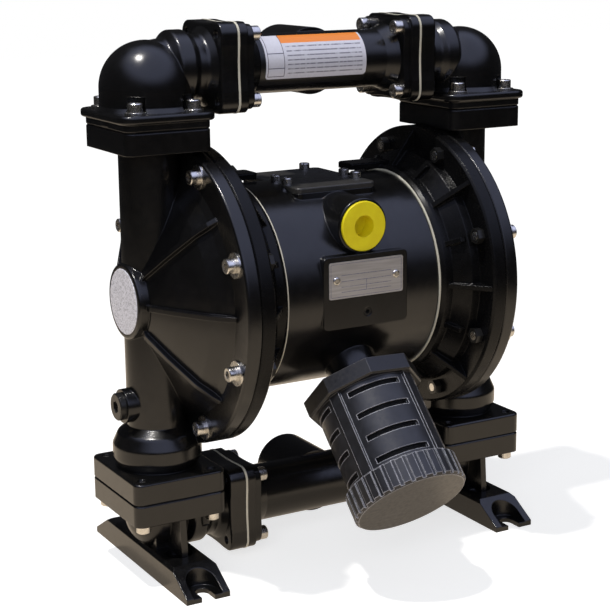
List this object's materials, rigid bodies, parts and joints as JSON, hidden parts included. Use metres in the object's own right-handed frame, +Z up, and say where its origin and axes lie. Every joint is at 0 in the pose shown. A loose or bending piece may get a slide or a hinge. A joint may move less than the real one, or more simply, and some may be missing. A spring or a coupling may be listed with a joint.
{
  "type": "air operated diaphragm pump",
  "caption": "Air driven double diaphragm pump: barrel air motor between two ribbed domed chambers, with outlet and inlet manifolds, ball valves, exhaust muffler and cast feet.",
  "frame": {"origin": "on the floor, midway between the four foot notches", "axes": "+X along the main shaft to the right chamber, -Y towards the air inlet and nameplate, +Y towards the liquid ports, +Z up"},
  "size_m": [0.42, 0.342, 0.4943],
  "materials": {
    "casting_black": "semi-gloss black powder coat on cast aluminium",
    "cover_grey": "matt dark grey coat on an aluminium cover",
    "stainless": "stainless steel fasteners",
    "nameplate_aluminium": "satin aluminium plate, bare",
    "label_white": "white film label with ruled blank boxes",
    "medallion_grey": "light grey textured disc",
    "plug_yellow": "yellow polyethylene",
    "ptfe_white": "off-white PTFE",
    "plug_black": "black plug",
    "shaft_steel": "ground stainless steel",
    "plate_aluminium": "machined aluminium",
    "bush_plastic": "acetal and rubber",
    "diaphragm_rubber": "fabric reinforced rubber",
    "muffler_plastic": "dark blue-grey polyamide with light edges",
    "muffler_felt": "porous sleeve"
  },
  "bodies": {
    "pump_body": {"center_body": "casting_black", "drain_plugs": "plug_black", "earth_screw": "plug_black", "foot_elbow_screws": "stainless", "inlet_gaskets": "ptfe_white", "inlet_manifold": "casting_black", "inlet_manifold_screws": "stainless", "inlet_seat_rings": "ptfe_white", "inlet_seats": "shaft_steel", "left_air_chamber": "casting_black", "left_body_gasket": "ptfe_white", "left_foot_elbow": "casting_black", "left_liquid_chamber": "casting_black", "left_rim_screws": "stainless", "left_rim_washers": "stainless", "left_top_elbow": "casting_black", "manifold_label": "label_white", "medallions": "medallion_grey", "muffler_barrel": "muffler_plastic", "muffler_cap": "muffler_plastic", "muffler_core": "muffler_felt", "muffler_nipple": "muffler_plastic", "nameplate": "nameplate_aluminium", "nameplate_rivets": "stainless", "outlet_gaskets": "ptfe_white", "outlet_manifold": "casting_black", "outlet_manifold_screws": "stainless", "outlet_seat_rings": "ptfe_white", "outlet_seats": "shaft_steel", "right_air_chamber": "casting_black", "right_body_gasket": "ptfe_white", "right_foot_elbow": "casting_black", "right_liquid_chamber": "casting_black", "right_rim_screws": "stainless", "right_rim_washers": "stainless", "right_top_elbow": "casting_black", "rim_nuts": "plug_black", "shaft_bushes": "bush_plastic", "shaft_seals": "bush_plastic", "top_elbow_screws": "stainless", "top_elbow_washers": "stainless", "valve_cover": "cover_grey", "valve_cover_screws": "stainless", "valve_end_caps": "plate_aluminium", "valve_sleeve": "plate_aluminium"},
    "shaft_assembly": {"main_shaft": "shaft_steel", "left_inner_plate": "plate_aluminium", "right_inner_plate": "plate_aluminium", "left_outer_plate": "shaft_steel", "right_outer_plate": "shaft_steel", "left_diaphragm": "diaphragm_rubber", "right_diaphragm": "diaphragm_rubber"},
    "pilot_rod": {"pilot_rod": "shaft_steel"},
    "valve_spool": {"valve_spool": "plate_aluminium"},
    "dust_plug": {"air_inlet_dust_plug": "plug_yellow"},
    "left_outlet_ball": {"left_outlet_ball": "ptfe_white"},
    "right_outlet_ball": {"right_outlet_ball": "ptfe_white"},
    "left_inlet_ball": {"left_inlet_ball": "ptfe_white"},
    "right_inlet_ball": {"right_inlet_ball": "ptfe_white"}
  },
  "joints": [
    {"name": "shaft_stroke", "type": "slide", "parent": "pump_body", "child": "shaft_assembly", "axis": [1, 0, 0], "range_m": [-0.017, 0.017], "deforming": ["left_diaphragm", "right_diaphragm"]},
    {"name": "pilot_rod_travel", "type": "slide", "parent": "pump_body", "child": "pilot_rod", "axis": [1, 0, 0], "range_m": [-0.006, 0.006]},
    {"name": "spool_travel", "type": "slide", "parent": "pump_body", "child": "valve_spool", "axis": [1, 0, 0], "range_m": [-0.006, 0.006]},
    {"name": "dust_plug_pull", "type": "slide", "parent": "pump_body", "child": "dust_plug", "axis": [0, -1, 0], "range_m": [0, 0.08]},
    {"name": "left_outlet_ball_lift", "type": "slide", "parent": "pump_body", "child": "left_outlet_ball", "axis": [0, 0, 1], "range_m": [0, 0.012]},
    {"name": "left_inlet_ball_lift", "type": "slide", "parent": "pump_body", "child": "left_inlet_ball", "axis": [0, 0, 1], "range_m": [0, 0.012]},
    {"name": "right_outlet_ball_lift", "type": "slide", "parent": "pump_body", "child": "right_outlet_ball", "axis": [0, 0, 1], "range_m": [0, 0.012]},
    {"name": "right_inlet_ball_lift", "type": "slide", "parent": "pump_body", "child": "right_inlet_ball", "axis": [0, 0, 1], "range_m": [0, 0.012]}
  ],
  "couplings": [
    {"joint": "pilot_rod_travel", "follows": "shaft_stroke", "ratio": 0.3529}
  ]
}
